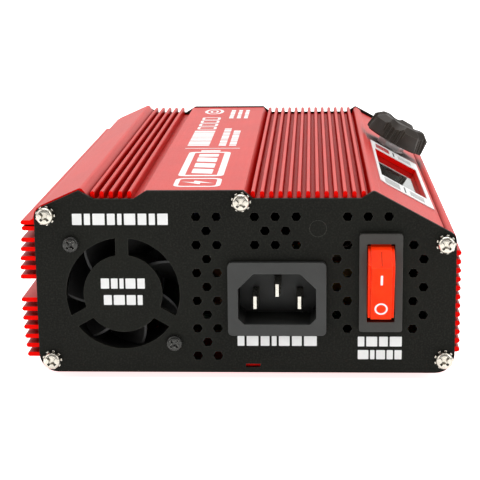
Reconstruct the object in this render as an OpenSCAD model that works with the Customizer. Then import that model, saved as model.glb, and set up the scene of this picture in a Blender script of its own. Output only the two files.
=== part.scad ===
// Mains power supply that feeds radio-control battery chargers.
// Two ribbed aluminium shells are closed by two sheet end plates. The near plate holds the
// mains inlet, the rocker switch and the fan; the sloping panel holds the display and the knob.
// Millimetres. X runs across the case, Y along it from the inlet end, Z up.
// Sizes are measured from the middle of the near plate's lower edge and moved by in_frame()
// so that the origin is the middle of the whole object's base.

/* [Case] */
// Length of the two aluminium shells
case_length = 198; // [194:1:210]
// Thickness of the sheet end plates
plate_t = 1.5; // [1.2:0.1:1.6]
// Width of the end plates
plate_width = 131.6; // [130.8:0.2:132]
// Thickness of the side walls at the foot of the fins
wall_t = 2.6; // [2.4:0.1:2.8]
// Thickness of the floor
floor_t = 2.2; // [2:0.1:2.4]
// Height of the rubber feet
foot_h = 2.4; // [1.5:0.1:4]
// Radius of the rubber feet
foot_r = 6; // [4:0.5:7]

/* [Cooling fins] */
// Number of fins on the wide group of the top
top_fins = 13; // [9:1:13]
// Spacing of the fins on the wide group of the top
top_pitch = 2.859; // [2.7:0.001:2.88]
// Number of fins on the narrow group of the top
edge_fins = 5; // [3:1:5]
// Spacing of the fins on the narrow group of the top
edge_pitch = 2.9; // [2.6:0.05:2.95]
// Thickness of the top fins
top_fin_w = 1.35; // [1:0.05:1.5]
// Thickness of the fins on the right side
right_fin_w = 1.7; // [1.2:0.1:1.8]
// Spacing of the fins on the right side
right_pitch = 2.83; // [2.7:0.01:2.84]
// Thickness of the long fins on the left side
left_fin_w = 1.4; // [1:0.1:1.6]

/* [Fan] */
// Width of the square fan
fan_size = 40; // [40:1:41]
// Depth of the fan
fan_depth = 20; // [19:1:22]
// Number of fan blades
fan_blades = 7; // [5:1:9]
// Diameter of the opening in the plate
grille_d = 36; // [34:0.5:37]
// Diameter of the disc that covers the fan's hub
grille_hub_d = 24.9; // [22:0.1:26]

/* [Inlet and switch] */
// Width of the inlet's flange
inlet_w = 30.8; // [30:0.1:31.5]
// Height of the inlet's flange
inlet_h = 23.6; // [23:0.1:24.5]
// How far the inlet's flange and the switch's bezel stand out
bezel_t = 2; // [1.5:0.1:2.2]
// Tilt of the rocker at each end of its travel
rocker_tilt = 17.5; // [12:0.5:18]

/* [Control panel] */
// Slope of the control panel
panel_a = 29; // [28.5:0.1:29.5]
// Radius over the knob's lobes
knob_r = 12.2; // [11:0.1:12.4]
// Height of the knob
knob_h = 8; // [7.6:0.1:9]
// Number of lobes on the knob
knob_lobes = 5; // [5:1:6]

/* [Outputs] */
// Distance between the red and the black socket of a pair
socket_pitch = 19; // [18:0.5:19]
// Bore of the output sockets
socket_bore = 4.1; // [4.05:0.01:4.15]

/* [Hidden] */
$fn = 48;
eps = 0.01;

// Case section
wall_x = 64.9;
inner_x = wall_x - wall_t;
floor_z = 0.4;
floor_top = floor_z + floor_t;
top_z = 58.3;
fin_floor_z = 55.4;
edge_floor_z = 55.2;
ceiling_z = 53.7;
seam_left = 27.15;
seam_right = 25.85;
seam_lip = 1.3;
seam_tongue = 2;
seam_gap = 0.1;
corner_r = 5.5;
boss_r = 2.9;
right_tip_x = 67.5;
right_top_z = 38.58;
right_upper_fins = 5;
right_fins = 12;
left_tip_x = 71.2;
left_bulge = 0.0028;
left_mid_z = 27;
left_pitch = 2.98;
left_upper_z = 30.9;
left_lower_z = 5.4;
left_lower_pitch = 3;
left_eave = [-69.75, 48.4];
flat_right_x = -0.1;
flat_left_x = -31.3;
flat_slope = 1.9;
top_fin_x = 37;
edge_fin_x = -35.8;
bead = [64.5, 43.5];
bead_r = 1.25;
panel_foot_x = 62.5;
panel_head_x = 42.6;
panel_mid_x = 52.7;
panel_mid_z = 50.3;
panel_wall = 1.8;

// Screws through the end plates
plate_screws = [[-62.15, 50.94], [-61.64, 4.08], [-0.96, 55.15], [62.5, 41.76], [62.5, 4.54]];
m3_r = 1.5;
m3_bore_r = 1.52;
m3_hole_r = 1.7;
m3_head_r = 2.7;
m3_head_h = 2;
washer_t = 0.6;
washer_r = 3.1;

// Near plate
fan_c = [-38.5, 25.75];
fan_hole = 16;
fan_shaft_r = 1.5;
inlet_c = [10.05, 24.45];
inlet_depth = 16;
recess_w = 24.5;
recess_h = 16.3;
recess_depth = 15.5;
switch_c = [42.4, 29.65];
bezel_w = 13.4;
bezel_h = 31.3;
rocker_w = 8.1;
rocker_r = 12;
rocker_y = 1;
rocker_rise = 7.2;
rocker_vee = 2.2;
lever_y = 10;
lever_tilt = 8;
stud_c = [22.88, 46.65];
vent_r = 1.6;
vent_top = 50.43;
vent_row = 4.497;

// Control panel
label_u = [-10.3, 10];
label_y = [34, 122.7];
window_u = [-9.26, 8.6];
window_y = [48.5, 106.5];
label_t = 0.3;
glass_top = panel_wall + 0.05;
glass_t = 1;
knob_c = [-1.1, 133];
knob_gap = 3.2;
knob_phase = 3;
scoop_r = 7;
scoop_lean = 12;
scoop_depth = 1.3;
valley_r = 4;
valley_slope = 32;
tooth = 0.4;

// Output sockets
pad_y = [58, 152];
pad_z = 8.6;
window_inset = 8;
window_half = 6.1;
socket_z = 17;
usb_y = 105;
socket_face_x = 66.4;
socket_flange = 3;
socket_tip_x = socket_face_x + socket_flange;

// Main board
board_z = 8;
board_t = 1.6;
board_top = board_z + board_t;
board_x = 60;
board_y = [34, case_length - 4];
standoff_x = 54;
standoff_y = [42, (board_y[0] + board_y[1]) / 2, board_y[1] - 8];

// Furthest points of the whole object, and the shift to the middle of its base
far_y = case_length + 2 * plate_t;
far_tip_y = far_y + washer_t + m3_head_h;
rocker_tip_y = rocker_y - rocker_r * sin(corner_angle() + rocker_tilt);
mid_x = (socket_tip_x + left_tip(left_lower_z + 6 * left_lower_pitch)) / 2;
mid_y = (far_tip_y + rocker_tip_y) / 2;
base_z = floor_z - foot_h;

red = [0.78, 0.05, 0.07];
black = [0.13, 0.13, 0.12];
steel = [0.75, 0.75, 0.76];
brass = [0.8, 0.65, 0.3];
copper = [0.72, 0.42, 0.22];
grey = [0.3, 0.3, 0.3];
green = [0.08, 0.3, 0.15];

function dir(a) = [cos(a), sin(a)];
function unit(v) = v / norm(v);
function joined(lists) = [for (l = lists) each l];
function arc(c, r, a0, a1, n = 6) = [for (i = [0 : n]) c + r * dir(a0 + (a1 - a0) * i / n)];

// Angle above the rocker's pivot plane of the corner between its face and its round end
function corner_angle() = asin(rocker_rise * cos(rocker_vee) / rocker_r) + rocker_vee;

// Fin pointing along angle a with its round tip at t: root, tip, root, drawn anticlockwise
function fin(t, a, w, h) =
    let (r = w / 2, c = t - r * dir(a))
    concat(
        [c - (h - r) * dir(a) + r * dir(a - 90)],
        arc(c, r, a - 90, a + 90, 4),
        [c - (h - r) * dir(a) + r * dir(a + 90)]);

// Outline of corners [x, z, radius] with each corner rounded
function rounded(pts, n = 6) =
    joined([for (i = [0 : len(pts) - 1])
        let (m = len(pts),
             a = [pts[(i + m - 1) % m].x, pts[(i + m - 1) % m].y],
             b = [pts[i].x, pts[i].y],
             c = [pts[(i + 1) % m].x, pts[(i + 1) % m].y],
             r = pts[i][2])
        r == 0 ? [b] : round_corner(b, unit(a - b), unit(c - b), r, n)]);
function round_corner(b, u, w, r, n) =
    let (half = acos(u * w) / 2,
         c = b + unit(u + w) * r / sin(half),
         s = b + u * r / tan(half) - c,
         turn = (180 - 2 * half) * (u.x * w.y - u.y * w.x > 0 ? -1 : 1),
         a0 = atan2(s.y, s.x))
    arc(c, r, a0, a0 + turn, n);

function left_tip(z) = -(left_tip_x - left_bulge * pow(z - left_mid_z, 2));
function left_fin(z) = fin([left_tip(z), z], 180, left_fin_w, -wall_x - left_tip(z));
function right_fin(k) =
    fin([right_tip_x, right_top_z - k * right_pitch], 0, right_fin_w, right_tip_x - wall_x);
function panel_z(x) = panel_mid_z - (x - panel_mid_x) * tan(panel_a);
panel_under_z = panel_mid_z - panel_wall / cos(panel_a);

// Section of the upper shell: outside from the right seam over the top to the left seam,
// then back along the inside, round the screw bosses
upper_outline = concat(
    [[wall_x, seam_right]],
    joined([for (k = [right_upper_fins - 1 : -1 : 0]) right_fin(k)]),
    arc(bead, bead_r, -50, 125),
    [[panel_foot_x + 0.5, panel_z(panel_foot_x) - 0.95],
     [panel_foot_x, panel_z(panel_foot_x)],
     [panel_head_x, panel_z(panel_head_x)],
     [panel_head_x - 0.4, panel_z(panel_head_x) + 1]],
    arc([40.2, 57], 1.1, 50, 150),
    [[38.6, fin_floor_z]],
    joined([for (k = [0 : top_fins - 1])
        fin([top_fin_x - k * top_pitch, top_z], 90, top_fin_w, top_z - fin_floor_z)]),
    [[flat_right_x + flat_slope, fin_floor_z],
     [flat_right_x, top_z],
     [flat_left_x, top_z],
     [flat_left_x - flat_slope, edge_floor_z]],
    joined([for (k = [0 : edge_fins - 1])
        fin([edge_fin_x - k * edge_pitch, top_z + 0.1], 90, top_fin_w, top_z + 0.1 - edge_floor_z)]),
    [[-48.5, edge_floor_z], [-48.7, 56.7]],
    arc([-51.35, 58.2], 1.1, 49, 113.9),
    [[-63.6, 53.97], [-65, 53.1], [-65.9, 51.9], [-66.2, 50.4], [-66.55, 49.5],
     [-67.4, left_eave.y + left_fin_w / 2]],
    arc(left_eave, left_fin_w / 2, 90, 270, 4),
    [[-wall_x, left_eave.y - left_fin_w / 2]],
    left_fin(46.5),
    joined([for (k = [4 : -1 : 0]) left_fin(left_upper_z + k * left_pitch)]),
    [[-wall_x, seam_left],
     [-wall_x + seam_lip, seam_left],
     [-wall_x + seam_lip, seam_left + seam_tongue],
     [-inner_x, seam_left + seam_tongue]],
    arc(plate_screws[0], boss_r, -93, 30),
    [[-56.6, ceiling_z]],
    arc(plate_screws[2], boss_r, 210, 330),
    [[panel_mid_x + (panel_under_z - ceiling_z) / tan(panel_a), ceiling_z]],
    arc(plate_screws[3], boss_r, 133, 266),
    [[inner_x, seam_right + seam_tongue],
     [wall_x - seam_lip, seam_right + seam_tongue],
     [wall_x - seam_lip, seam_right]]);

// Section of the lower shell: outside from the left seam under the floor to the right seam
lower_outline = concat(
    [[-wall_x, seam_left]],
    joined([for (k = [6 : -1 : 0]) left_fin(left_lower_z + k * left_lower_pitch)]),
    arc([-wall_x + corner_r, floor_z + corner_r], corner_r, 195, 270),
    arc([wall_x - corner_r, floor_z + corner_r], corner_r, 270, 360),
    joined([for (k = [right_fins - 1 : -1 : right_upper_fins]) right_fin(k)]),
    [[wall_x, seam_right],
     [wall_x - seam_lip - seam_gap, seam_right],
     [wall_x - seam_lip - seam_gap, seam_right + seam_tongue - seam_gap],
     [inner_x, seam_right + seam_tongue - seam_gap]],
    arc(plate_screws[4], boss_r, 94, 222),
    arc(plate_screws[1], boss_r, -30.7, 103),
    [[-inner_x, seam_left + seam_tongue - seam_gap],
     [-wall_x + seam_lip + seam_gap, seam_left + seam_tongue - seam_gap],
     [-wall_x + seam_lip + seam_gap, seam_left]]);

// Outline of both end plates, which follows the top's ridges and fin floors
plate_half = plate_width / 2;
plate_outline = rounded([
    [-plate_half, 0, 6], [plate_half, 0, 6],
    [plate_half, 44.4, 3], [40.1, 58.54, 1.2],
    [36.4, 56.13, 0.3], [2.8, 56.13, 0.3], [-0.3, 58.67, 0.5],
    [-30.4, 58.67, 0.5], [-34.5, 56.1, 0.3], [-46.9, 56.1, 0.3],
    [-51.7, 58.75, 0.6], [-plate_half, 52.5, 3]]);

// Moves everything to the frame of the finished object
module in_frame() {
    translate([-mid_x, -mid_y, -base_z]) children();
}

// Extrudes a section drawn in X and Z from y0 to y1
module along(y0, y1) {
    translate([0, y1, 0]) rotate([90, 0, 0]) linear_extrude(y1 - y0) children();
}

// Cylinder along +Y from y0 to y1 at c = [x, z]
module rod(c, r, y0, y1) {
    along(y0, y1) translate(c) circle(r = r);
}

// Places children on the sloping panel: u down the slope, y along the case, h above the panel
module on_panel(u = 0, y = 0, h = 0) {
    translate([panel_mid_x, y, panel_mid_z]) rotate([0, panel_a, 0]) translate([u, 0, h]) children();
}

// Rectangle centred at c with corner radius r
module plate_rect(c, w, h, r) {
    polygon(rounded([
        [c.x - w / 2, c.y - h / 2, r], [c.x + w / 2, c.y - h / 2, r],
        [c.x + w / 2, c.y + h / 2, r], [c.x - w / 2, c.y + h / 2, r]], 4));
}

// Box from its lowest to its highest corner
module block(lo, hi) {
    translate(lo) cube(hi - lo);
}

// Smooth curve through hand-picked points, k steps between two points
function smooth(p, k = 4) =
    let (m = len(p) - 1)
    concat(
        joined([for (i = [0 : m - 1])
            let (a = p[max(i - 1, 0)], b = p[i], c = p[i + 1], d = p[min(i + 2, m)])
            [for (j = [0 : k - 1])
                let (t = j / k)
                0.5 * (2 * b + (c - a) * t + (2 * a - 5 * b + 4 * c - d) * t * t
                    + (3 * b - a - 3 * c + d) * t * t * t)]]),
        [p[m]]);

// Directions square to a path of tangents t, carried along it without twist from up
function squared(u, t) = unit(u - (u * t) * t);
function carried(t, up) =
    [for (i = 0, u = squared(up, t[0]); i < len(t);
        i = i + 1, u = i < len(t) ? squared(u, t[i]) : u) u];

// Sweeps a closed section of [side, up] points along a path
module sweep(path, section, up = [0, 0, 1]) {
    n = len(path);
    m = len(section);
    t = [for (i = [0 : n - 1]) unit(path[min(i + 1, n - 1)] - path[max(i - 1, 0)])];
    v = carried(t, up);
    points = joined([for (i = [0 : n - 1])
        [for (q = section) path[i] + cross(t[i], v[i]) * q.x + v[i] * q.y]]);
    sides = [for (i = [0 : n - 2], j = [0 : m - 1])
        [i * m + j, i * m + (j + 1) % m, (i + 1) * m + (j + 1) % m, (i + 1) * m + j]];
    near = [[for (j = [m - 1 : -1 : 0]) j]];
    far = [[for (j = [0 : m - 1]) (n - 1) * m + j]];
    polyhedron(points, concat(near, sides, far));
}

// Curve that leaves its first point and meets its last point dead straight
function route(p) =
    let (m = len(p) - 1)
    concat([p[0]], smooth([for (i = [1 : m - 1]) p[i]]), [p[m]]);

module wire(points, r) {
    sweep(route(points), [for (i = [0 : 7]) r * dir(45 * i)]);
}

// ---- Case ----

module upper_shell() {
    color(red) in_frame() difference() {
        along(plate_t, far_y - plate_t) polygon(upper_outline);
        for (i = [0, 2, 3]) rod(plate_screws[i], m3_bore_r, 0, far_y);
        on_panel() block(
            [window_u[0], window_y[0], -panel_wall - 2], [window_u[1], window_y[1], 2]);
        on_panel(knob_c.x, knob_c.y, -panel_wall - 2) cylinder(r = 3.6, h = 6);
    }
}

module lower_shell() {
    color(red) in_frame() difference() {
        along(plate_t, far_y - plate_t) polygon(lower_outline);
        for (i = [1, 4]) rod(plate_screws[i], m3_bore_r, 0, far_y);
        block([wall_x, pad_y[0], pad_z], [wall_x + 5, pad_y[1], seam_right + 1]);
        block([inner_x - 1, pad_y[0] + window_inset, socket_z - window_half],
            [wall_x + 1, pad_y[1] - window_inset, socket_z + window_half]);
        for (c = panel_screw_places()) translate([inner_x - 1, c.x, c.y])
            rotate([0, 90, 0]) cylinder(r = 1.27, h = wall_t + 2);
    }
}

module screw_holes() {
    for (c = plate_screws) translate(c) circle(r = m3_hole_r);
}

module vent(x, row) {
    translate([x, vent_top - vent_row * row]) circle(r = vent_r, $fn = 6);
}

module near_vents() {
    for (row = [0 : 2 : 10], x = [-15.1, -8.67]) vent(x, row);
    for (row = [1 : 2 : 9]) vent(-11.95, row);
    for (row = [0, 2], x = [3.15, 9.6, 16.13]) vent(x, row);
    for (x = [6.42, 12.83]) vent(x, 1);
    for (x = [32.05, 38.37, 44.76]) vent(x, 0);
    for (row = [2 : 2 : 8], x = [32.08, 52.5]) vent(x, row);
    for (row = [3 : 2 : 7], x = [28.74, 55.7]) vent(x, row);
}

module fan_grille() {
    translate(fan_c) difference() {
        circle(d = grille_d);
        circle(d = grille_hub_d);
        for (a = [90, 210, 330]) rotate(a) translate([0, -2]) square([grille_d, 4]);
    }
}

module inlet_end_plate() {
    color(black) in_frame() along(0, plate_t) difference() {
        polygon(plate_outline);
        screw_holes();
        near_vents();
        fan_grille();
        for (s = [[-1, 1], [1, -1]]) translate(fan_c + s * fan_hole) circle(r = m3_hole_r);
        plate_rect(inlet_c, 27.4, 19.8, 0.5);
        plate_rect(switch_c, 12.8, 28.8, 0.5);
        translate(stud_c) circle(r = 2.62);
        translate([0, 1.68]) square([4.68, 1.14]);
    }
}

module far_end_plate() {
    color(black) in_frame() along(far_y - plate_t, far_y) difference() {
        polygon(plate_outline);
        screw_holes();
        for (row = [1 : 9], i = [0 : 7 - row % 2])
            vent(-22.4 + 6.4 * i + 3.2 * (row % 2), row);
    }
}

// Pan-head screw with a cross recess, its head's base at the origin and its shank along -Z
module pan_screw(r, head_r, head_h, shank) {
    difference() {
        union() {
            rotate_extrude() polygon(concat(
                [[0, 0], [head_r, 0]],
                [for (i = [0 : 5]) [head_r * cos(i * 12), head_h * (0.45 + 0.55 * sin(i * 18))]],
                [[0, head_h]]));
            translate([0, 0, -shank]) cylinder(r = r, h = shank + eps);
        }
        for (a = [45, 135]) rotate(a) translate([-head_r * 0.66, -head_r * 0.15, head_h * 0.3])
            cube([head_r * 1.32, head_r * 0.3, head_h]);
        translate([0, 0, head_h * 0.3]) cylinder(r1 = head_r * 0.2, r2 = head_r * 0.4, h = head_h);
    }
}

module near_plate_screws() {
    color(steel) in_frame() for (c = plate_screws)
        translate([c.x, -washer_t, c.y]) rotate([90, 0, 0])
            pan_screw(m3_r, m3_head_r, m3_head_h, 9.5);
}

module far_plate_screws() {
    color(steel) in_frame() for (c = plate_screws)
        translate([c.x, far_y + washer_t, c.y]) rotate([-90, 0, 0])
            pan_screw(m3_r, m3_head_r, m3_head_h, 9.5);
}

// Lock washer with outward teeth, each tooth set on a slight slant
module lock_washer() {
    teeth = 9;
    difference() {
        linear_extrude(washer_t) polygon(joined([for (i = [0 : teeth - 1])
            [for (q = [[-8, 2.45], [-6, washer_r], [7, washer_r], [11, 2.45]])
                q[1] * dir(i * 360 / teeth + q[0])]]));
        translate([0, 0, -1]) cylinder(r = 1.6, h = 3);
    }
}

module lock_washers() {
    color(steel) in_frame() for (c = plate_screws) {
        translate([c.x, 0, c.y]) rotate([90, 0, 0]) lock_washer();
        translate([c.x, far_y, c.y]) rotate([-90, 0, 0]) lock_washer();
    }
}

module rubber_feet() {
    color([0.1, 0.1, 0.1]) in_frame()
        for (x = [-50, 50], y = [22, far_y - 22]) translate([x, y, floor_z - foot_h])
            rotate_extrude() polygon([
                [0, 0], [foot_r - 0.8, 0], [foot_r - 0.2, 0.6], [foot_r, foot_h], [0, foot_h]]);
}

// ---- Fan ----

fan_y0 = plate_t;
fan_y1 = plate_t + fan_depth;

// Children drawn with +Z as the fan's axis, starting at the plate's inner face
module on_fan(y = 0) {
    translate([fan_c.x, fan_y0 + y, fan_c.y]) rotate([-90, 0, 0]) children();
}

module fan_frame() {
    color(black) in_frame() difference() {
        union() {
            on_fan() linear_extrude(fan_depth) difference() {
                plate_rect([0, 0], fan_size, fan_size, 3.5);
                circle(r = 19, $fn = 96);
            }
            for (a = [45 : 90 : 315]) on_fan(fan_depth - 3) rotate(a)
                translate([10, -1.5, 0]) cube([9.6, 3, 3]);
            on_fan(fan_depth - 2.4) cylinder(r = 11.4, h = 2.4);
            on_fan(6) cylinder(r = 3.2, h = fan_depth - 6);
        }
        on_fan(5) cylinder(r = fan_shaft_r + 0.05, h = fan_depth - 6.5);
        for (x = [-fan_hole, fan_hole], z = [-fan_hole, fan_hole])
            on_fan(-1) translate([x, z, 0]) cylinder(r = m3_hole_r, h = fan_depth + 2);
    }
}

module fan_rotor() {
    color(grey) in_frame() on_fan(2.6) union() {
        difference() {
            cylinder(r = 10.8, h = fan_depth - 6.2);
            translate([0, 0, 1.4]) cylinder(r = 9.3, h = fan_depth);
        }
        cylinder(r = fan_shaft_r, h = fan_depth - 5);
        for (i = [0 : fan_blades - 1]) rotate(i * 360 / fan_blades) translate([0, 0, 0.4])
            linear_extrude(fan_depth - 7.4, twist = -38, slices = 5) polygon(concat(
                [for (j = [0 : 4]) (10.2 + j * 2.05) * dir(j * 5)],
                [for (j = [4 : -1 : 0]) (10.2 + j * 2.05) * dir(j * 5 + 5 - j * 0.6)]));
    }
}

module fan_stator() {
    color(copper) in_frame() on_fan(6.5) difference() {
        union() {
            cylinder(r = 5, h = 9);
            for (a = [0 : 90 : 270]) rotate(a) translate([0, -3, 1.5]) cube([8.2, 6, 6]);
        }
        translate([0, 0, -1]) cylinder(r = 3.25, h = 12);
    }
}

module fan_screws() {
    color(black) in_frame() for (s = [[-1, 1], [1, -1]])
        translate([fan_c.x + s.x * fan_hole, 0, fan_c.y + s.y * fan_hole]) rotate([90, 0, 0])
            pan_screw(m3_r, 2.55, 1.7, fan_depth + 5);
}

module fan_nuts() {
    color(steel) in_frame() for (s = [[-1, 1], [1, -1]])
        translate([fan_c.x + s.x * fan_hole, fan_y1, fan_c.y + s.y * fan_hole])
            rotate([-90, 0, 0]) difference() {
                cylinder(r = 3.15, h = 2.4, $fn = 6);
                translate([0, 0, -1]) cylinder(r = m3_bore_r, h = 5);
            }
}

// ---- Mains inlet ----

pin_top = 3.5;
pin_places = [[-7, -2], [7, -2], [0, 2]];

module inlet_recess() {
    chamfer = 4.9;
    foot = 1.9;
    polygon([
        [-recess_w / 2 + foot, -recess_h / 2], [recess_w / 2 - foot, -recess_h / 2],
        [recess_w / 2, -recess_h / 2 + foot], [recess_w / 2, recess_h / 2 - chamfer],
        [recess_w / 2 - chamfer, recess_h / 2], [-recess_w / 2 + chamfer, recess_h / 2],
        [-recess_w / 2, recess_h / 2 - chamfer], [-recess_w / 2, -recess_h / 2 + foot]]);
}

module inlet_body() {
    color(grey) in_frame() difference() {
        union() {
            along(-bezel_t, 0) plate_rect(inlet_c, inlet_w, inlet_h, 1.5);
            along(-eps, inlet_depth) plate_rect(inlet_c, 27.2, 19.6, 0.5);
            for (m = [0, 1]) translate([inlet_c.x, 0, inlet_c.y]) mirror([m, 0, 0])
                translate([0, 0, -3]) linear_extrude(6)
                    polygon([[13.5, plate_t + 0.1], [14.7, plate_t + 0.1], [13.5, plate_t + 5]]);
        }
        along(-bezel_t - 1, -bezel_t + recess_depth) translate(inlet_c) inlet_recess();
        for (p = pin_places) along(0, inlet_depth + 1)
            translate(inlet_c + p) square([2.1, 4.1], center = true);
    }
}

// Flat contact blade with a bevelled tip, and a narrower tab behind the housing
module inlet_pin(p) {
    tip = -bezel_t + pin_top;
    translate([inlet_c.x + p.x, 0, inlet_c.y + p.y]) {
        translate([0, 0, -2]) linear_extrude(4) polygon([
            [-1, inlet_depth], [-1, tip + 1], [-0.5, tip], [0.5, tip], [1, tip + 1], [1, inlet_depth]]);
        block([-0.4, inlet_depth - 1, -2], [0.4, inlet_depth + 8, 2]);
    }
}

module inlet_pins() {
    color(steel) in_frame() for (p = pin_places) inlet_pin(p);
}

// ---- Rocker switch ----

// Children drawn with the rocker's pivot as origin
module at_rocker() {
    translate([switch_c.x, rocker_y, switch_c.y]) children();
}

module switch_housing() {
    color(black) in_frame() difference() {
        union() {
            along(-bezel_t, 0) plate_rect(switch_c, bezel_w, bezel_h, 0.8);
            along(-eps, 17) plate_rect(switch_c, 12.6, 28.6, 0.5);
        }
        along(-bezel_t - 1, 1) plate_rect(switch_c, 8.7, 25, 0.3);
        along(0, 13) plate_rect(switch_c, 10, 26.2, 0.3);
        at_rocker() rotate([0, 90, 0]) translate([0, 0, -6.1]) cylinder(r = 1.25, h = 12.2);
        for (z = [-8.5, 0, 8.5]) along(12, 18)
            translate(switch_c + [0, z]) square([5.1, 0.9], center = true);
    }
}

// Side view of the rocker, drawn in Y and Z about its pivot; drop lowers its faces and ends
rocker_end = [6, 0, -7, -14];
function rocker_side(drop) =
    let (rise = rocker_rise - drop,
         r = rocker_r - drop / 2,
         turns = concat([asin(rise * cos(rocker_vee) / r) + rocker_vee], rocker_end))
    concat(
        [[-rise, 0]],
        [for (i = [0 : 4]) r * [-sin(turns[i]), cos(turns[i])]],
        [for (i = [4 : -1 : 0]) r * [-sin(turns[i]), -cos(turns[i])]]);

// Line pressed into the rocker's flat end, in the same side view
function rocker_line(s) =
    let (a = corner_angle(),
         p = rocker_r * [-sin(a), s * cos(a)],
         q = rocker_r * [-sin(rocker_end[0]), s * cos(rocker_end[0])])
    [0.98 * (0.9 * p + 0.1 * q), 0.98 * (0.1 * p + 0.9 * q),
     1.05 * (0.1 * p + 0.9 * q), 1.05 * (0.9 * p + 0.1 * q)];

// Extrudes a shape drawn in Y and Z to the given width about X = 0
module across(w) {
    rotate([90, 0, 90]) translate([0, 0, -w / 2]) linear_extrude(w) children();
}

module switch_rocker() {
    color([0.9, 0.12, 0.05]) in_frame() at_rocker() rotate([rocker_tilt, 0, 0]) difference() {
        union() {
            across(rocker_w) polygon(rocker_side(1.1));
            across(rocker_w - 1.8) polygon(rocker_side(0));
            rotate([0, 90, 0]) translate([0, 0, -6]) cylinder(r = 1.2, h = 12);
            rotate([-90, 0, 0]) cylinder(r = 2, h = 5.5);
        }
        for (s = [-1, 1]) across(5.4) polygon([
            [-5.6, s * 2.4], [-5.6, s * 9.2], [-1, s * 10.6], [3.5, s * 10.6], [3.5, s * 2.4]]);
        rotate([-90, 0, 0]) translate([0, 0, 1.5]) cylinder(r = 1.2, h = 5);
        for (s = [-1, 1]) across(0.3) polygon(rocker_line(s));
    }
}

module switch_plunger() {
    color(brass) in_frame() at_rocker() rotate([rocker_tilt, 0, 0]) rotate([-90, 0, 0])
        rotate_extrude() polygon([[0, 1.6], [1.1, 1.6], [1.1, 7.4], [0.7, 7.9], [0, 8]]);
}

module switch_contact() {
    color(copper) in_frame() translate([switch_c.x, lever_y, switch_c.y])
        rotate([-lever_tilt, 0, 0]) union() {
            block([-2.5, -0.4, -9], [2.5, 0.4, 9]);
            for (s = [-1, 1]) translate([0, 0.4, s * 8]) rotate([-90, 0, 0])
                cylinder(r = 1.3, h = 0.35);
        }
}

module switch_terminals() {
    color(brass) in_frame() for (z = [-8.5, 0, 8.5])
        block([switch_c.x - 2.4, z == 0 ? 11.2 : 12.6, switch_c.y + z - 0.4],
            [switch_c.x + 2.4, terminal_y, switch_c.y + z + 0.4]);
}

// ---- Earth point ----

module earth_stud() {
    color(steel) in_frame() {
        rod(stud_c, 2.6, 0, plate_t);
        rod(stud_c, 2, plate_t - eps, 12);
    }
}

module earth_nut() {
    color(steel) in_frame() along(plate_t + 0.8, plate_t + 4) translate(stud_c) difference() {
        circle(r = 4.04, $fn = 6);
        circle(r = 2.03);
    }
}

module earth_lug() {
    color(brass) in_frame() along(plate_t, plate_t + 0.8) translate(stud_c) difference() {
        union() {
            circle(r = 4);
            translate([-1.5, -12]) square([3, 9]);
        }
        circle(r = 2.1);
    }
}

// ---- Control panel ----

module panel_label() {
    color("white") in_frame() on_panel() linear_extrude(label_t) difference() {
        polygon([
            [label_u[0], label_y[0] + 2.4], [label_u[0] + 2.4, label_y[0]],
            [label_u[1], label_y[0]], [label_u[1], label_y[1]], [label_u[0], label_y[1]]]);
        translate([window_u[0], window_y[0]])
            square([window_u[1] - window_u[0], window_y[1] - window_y[0]]);
    }
}

module display_glass() {
    color([0.2, 0.25, 0.25]) in_frame() on_panel() block(
        [-10.2, window_y[0] - 2.5, -glass_top - glass_t], [9.3, window_y[1] + 2.5, -glass_top]);
}

module display_module() {
    h = -glass_top - glass_t;
    color([0.75, 0.78, 0.75]) in_frame() on_panel() difference() {
        block([-9.6, window_y[0] - 1.5, h - 4], [8.4, window_y[1] + 1.5, h]);
        block([-7.8, window_y[0] + 2, h - 0.6], [6.8, window_y[1] - 2, h + 1]);
    }
}

module display_board() {
    h = -glass_top - glass_t - 4;
    color(green) in_frame() on_panel()
        block([-9.6, window_y[0] - 3, h - 1.6], [8.2, window_y[1] + 3, h]);
}

// Section of the tool that hollows the knob between two lobes, with teeth that leave ribs
function scoop_outline() =
    [for (i = [0 : 71])
        (scoop_r - (i > 28 && i < 44 && i % 3 == 0 ? tooth : 0)) * dir(i * 5)];

// Rounded valleys that run in from the top of each scoop and leave the lobes as crowns
module knob_valley() {
    translate([knob_r - 0.5, 0, knob_h + 0.8]) rotate([0, valley_slope - 90, 0])
        cylinder(r = valley_r, h = 30, center = true);
}

module adjust_knob() {
    color(black) in_frame() on_panel(knob_c.x, knob_c.y, knob_gap) rotate(knob_phase) difference() {
        rotate_extrude($fn = 96) polygon([
            [0, 0], [knob_r - 0.3, 0], [knob_r, 0.5], [knob_r - 0.3, knob_h - 2.2],
            [knob_r - 3, knob_h], [knob_r - 4.4, knob_h], [5, knob_h - 1], [0, knob_h - 1]]);
        for (i = [0 : knob_lobes - 1]) rotate((i + 0.5) * 360 / knob_lobes) {
            translate([knob_r - scoop_depth + scoop_r, 0, 0]) rotate([0, -scoop_lean, 0])
                translate([0, 0, -4]) linear_extrude(knob_h + 8) polygon(scoop_outline());
            knob_valley();
        }
        translate([0, 0, -1]) cylinder(r = 6.4, h = 2.4);
        cylinder(r = 3.02, h = knob_h - 2.6);
    }
}

module pot_shaft() {
    depth = 7.6;
    color(steel) in_frame() on_panel(knob_c.x, knob_c.y, -depth)
        cylinder(r = 3, h = depth + knob_gap + knob_h - 3);
}

module pot_body() {
    color(grey) in_frame() on_panel(knob_c.x, knob_c.y) difference() {
        union() {
            translate([0, 0, -glass_top - 7]) cylinder(r = 8, h = 7);
            translate([0, 0, -glass_top - eps]) cylinder(r = 3.5, h = glass_top + 3.8);
        }
        translate([0, 0, -7.9]) cylinder(r = 3.05, h = 20);
    }
}

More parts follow.
